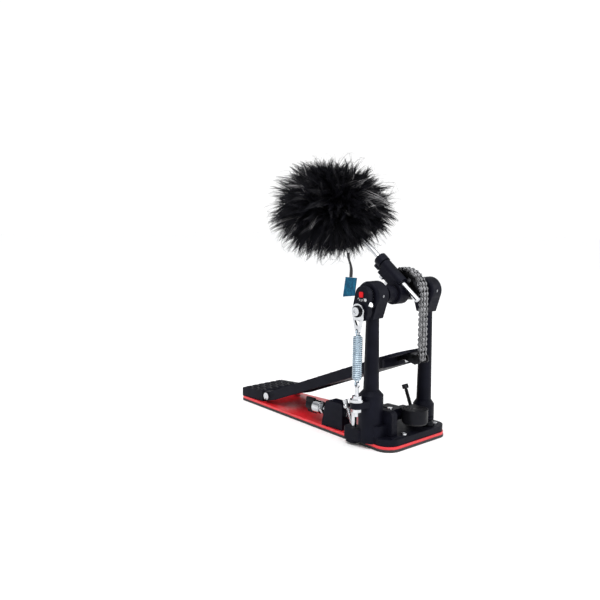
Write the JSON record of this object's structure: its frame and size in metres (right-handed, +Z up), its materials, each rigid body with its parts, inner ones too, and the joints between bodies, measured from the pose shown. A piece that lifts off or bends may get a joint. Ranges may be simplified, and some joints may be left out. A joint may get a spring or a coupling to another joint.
{
  "type": "bass drum pedal",
  "caption": "Chain-drive bass drum pedal with a plush ball beater, slanted footboard, side spring, hoop clamp and red sole plate.",
  "frame": {"origin": "on the floor plane under the drive shaft, midway between the two posts", "axes": "+Z up, +Y forward to the drum, +X to the spring side (the player's right)"},
  "size_m": [0.1583, 0.3205, 0.3614],
  "materials": {
    "black_coat": "satin powder coat",
    "red_plate": "gloss paint",
    "sole_rubber": "matte ribbed",
    "chrome": "polished",
    "zinc_screw": "zinc plated",
    "bearing_steel": "ground",
    "dark_steel": "black oxide",
    "chain_steel": "nickel plated, oiled",
    "bearing_black": "smooth",
    "spring_zinc": "blue zinc plated",
    "red_dot": "smooth",
    "jaw_plastic": "moulded",
    "core_felt": "pressed felt",
    "fur": "long pile plush",
    "ribbon": "satin ribbon",
    "tag_card": "printed card"
  },
  "bodies": {
    "root": {"sole_rubber": "sole_rubber", "sole_plate": "red_plate", "sole_screws": "zinc_screw", "base_casting": "black_coat", "casting_screws": "chrome", "flange_plug": "bearing_black", "right_post": "black_coat", "left_post": "black_coat", "right_housing": "black_coat", "left_housing": "black_coat", "right_bearing": "bearing_steel", "left_bearing": "bearing_steel", "housing_screws": "bearing_steel", "heel_plate": "black_coat", "heel_pin": "chrome", "spring_bracket": "black_coat", "clamp_pin": "bearing_steel", "clamp_block": "black_coat"},
    "footboard": {"footboard": "black_coat", "chain_bracket": "dark_steel", "bracket_bolts": "chrome"},
    "shaft": {"drive_shaft": "bearing_steel", "shaft_collars": "black_coat", "sprocket": "dark_steel", "chain_wrap": "chain_steel", "rocker": "black_coat", "rocker_dot": "red_dot", "rocker_screws": "chrome", "rocker_pin": "chrome"},
    "link_4": {"chain_link_4": "chain_steel"},
    "link_3": {"chain_link_3": "chain_steel"},
    "link_2": {"chain_link_2": "chain_steel"},
    "link_1": {"chain_link_1": "chain_steel"},
    "run": {"chain_run": "chain_steel"},
    "stirrup": {"stirrup_bearing": "bearing_black", "stirrup": "chrome"},
    "spring": {"spring": "spring_zinc"},
    "tension_rod": {"tension_rod": "chrome"},
    "tension_nut": {"tension_nut": "chrome"},
    "lock_nut": {"lock_nut": "chrome"},
    "hub": {"beater_hub": "black_coat", "hub_screws": "chrome"},
    "beater": {"memory_collar": "black_coat", "beater_rod": "chrome", "beater_core": "core_felt", "fur_cover": "fur"},
    "tag": {"ribbon": "ribbon", "swing_tag": "tag_card"},
    "clamp_lever": {"clamp_lever": "black_coat", "lever_screws": "chrome", "clamp_jaw": "jaw_plastic", "jaw_pad": "sole_rubber"},
    "clamp_screw": {"clamp_screw": "chrome", "wing_knob": "jaw_plastic"},
    "spur_right": {"spur_right": "chrome"},
    "spur_left": {"spur_left": "dark_steel"},
    "drum_key": {"drum_key": "chrome"}
  },
  "joints": [
    {"name": "beater_swing", "type": "hinge", "parent": "root", "child": "shaft", "pos_m": [0, 0, 0.188], "axis": [-1, 0, 0], "range_deg": [0, 49.66], "stiffness_Nm_per_rad": 0.9, "springref_deg": -68.75, "deforming": ["spring"]},
    {"name": "footboard_hinge", "type": "hinge", "parent": "root", "child": "footboard", "pos_m": [0, -0.2196, 0.0174], "axis": [-1, 0, 0], "range_deg": [-0.5, 6]},
    {"name": "chain_joint_4", "type": "hinge", "parent": "shaft", "child": "link_4", "pos_m": [-0.008, 0.01901, 0.21038], "axis": [-1, 0, 0], "range_deg": [-6.5, 0.5]},
    {"name": "chain_joint_3", "type": "hinge", "parent": "link_4", "child": "link_3", "pos_m": [-0.008, 0.02338, 0.20577], "axis": [-1, 0, 0], "range_deg": [-12.8, 0.5]},
    {"name": "chain_joint_2", "type": "hinge", "parent": "link_3", "child": "link_2", "pos_m": [-0.008, 0.02665, 0.20033], "axis": [-1, 0, 0], "range_deg": [-12.8, 0.5]},
    {"name": "chain_joint_1", "type": "hinge", "parent": "link_2", "child": "link_1", "pos_m": [-0.008, 0.02868, 0.19431], "axis": [-1, 0, 0], "range_deg": [-12.8, 0.5]},
    {"name": "toe_joint", "type": "hinge", "parent": "footboard", "child": "run", "pos_m": [-0.008, 0.02937, 0.10545], "axis": [-1, 0, 0], "range_deg": [-11.5, 0.5]},
    {"name": "stirrup_pivot", "type": "hinge", "parent": "shaft", "child": "stirrup", "pos_m": [0.079, 0, 0.1705], "axis": [-1, 0, 0], "range_deg": [-58, 0.5]},
    {"name": "tension_slide", "type": "slide", "parent": "root", "child": "tension_rod", "axis": [0, 0, -1], "range_m": [0, 0.004]},
    {"name": "tension_nut_turn", "type": "hinge", "parent": "root", "child": "tension_nut", "pos_m": [0.079, 0, 0.0603], "axis": [0, 0, 1], "range_deg": [0, 1440]},
    {"name": "lock_nut_turn", "type": "hinge", "parent": "root", "child": "lock_nut", "pos_m": [0.079, 0, 0.0475], "axis": [0, 0, 1], "continuous": true},
    {"name": "spring_lean", "type": "hinge", "parent": "tension_rod", "child": "spring", "pos_m": [0.079, 0, 0.081], "axis": [-1, 0, 0], "range_deg": [-8, 0.5]},
    {"name": "beater_angle", "type": "hinge", "parent": "shaft", "child": "hub", "pos_m": [0.008, 0, 0.188], "axis": [-1, 0, 0], "range_deg": [-12, 12]},
    {"name": "beater_height", "type": "slide", "parent": "hub", "child": "beater", "axis": [0, -0.7869, 0.617], "range_m": [0, 0.02]},
    {"name": "tag_hang", "type": "hinge", "parent": "beater", "child": "tag", "pos_m": [0.022, -0.072, 0.236], "axis": [-1, 0, 0], "range_deg": [-50, 0]},
    {"name": "wing_turn", "type": "hinge", "parent": "root", "child": "clamp_screw", "pos_m": [0.044, -0.09, 0.027], "axis": [0, 1, 0], "range_deg": [0, 720]},
    {"name": "clamp_tilt", "type": "hinge", "parent": "root", "child": "clamp_lever", "pos_m": [0, 0.002, 0.03], "axis": [-1, 0, 0], "range_deg": [0, 8]},
    {"name": "spur_right_slide", "type": "slide", "parent": "root", "child": "spur_right", "axis": [0, 0.3746, -0.9272], "range_m": [-0.006, 0.01]},
    {"name": "spur_left_slide", "type": "slide", "parent": "root", "child": "spur_left", "axis": [0, 0.3746, -0.9272], "range_m": [-0.006, 0.01]},
    {"name": "key_lift", "type": "slide", "parent": "root", "child": "drum_key", "axis": [0, 0, 1], "range_m": [0, 0.045]}
  ],
  "couplings": [
    {"joint": "footboard_hinge", "follows": "beater_swing", "ratio": 0.1158},
    {"joint": "chain_joint_4", "follows": "beater_swing", "ratio": -0.125},
    {"joint": "chain_joint_3", "follows": "beater_swing", "ratio": -0.25},
    {"joint": "chain_joint_2", "follows": "beater_swing", "ratio": -0.25},
    {"joint": "chain_joint_1", "follows": "beater_swing", "ratio": -0.25},
    {"joint": "toe_joint", "follows": "beater_swing", "ratio": -0.21931},
    {"joint": "stirrup_pivot", "follows": "beater_swing", "ratio": -1.156},
    {"joint": "spring_lean", "follows": "beater_swing", "ratio": -0.15608},
    {"joint": "tag_hang", "follows": "beater_swing", "ratio": -1},
    {"joint": "clamp_tilt", "follows": "wing_turn", "ratio": 0.01111},
    {"joint": "tension_slide", "follows": "tension_nut_turn", "m_per_rad": 0.00015915}
  ]
}
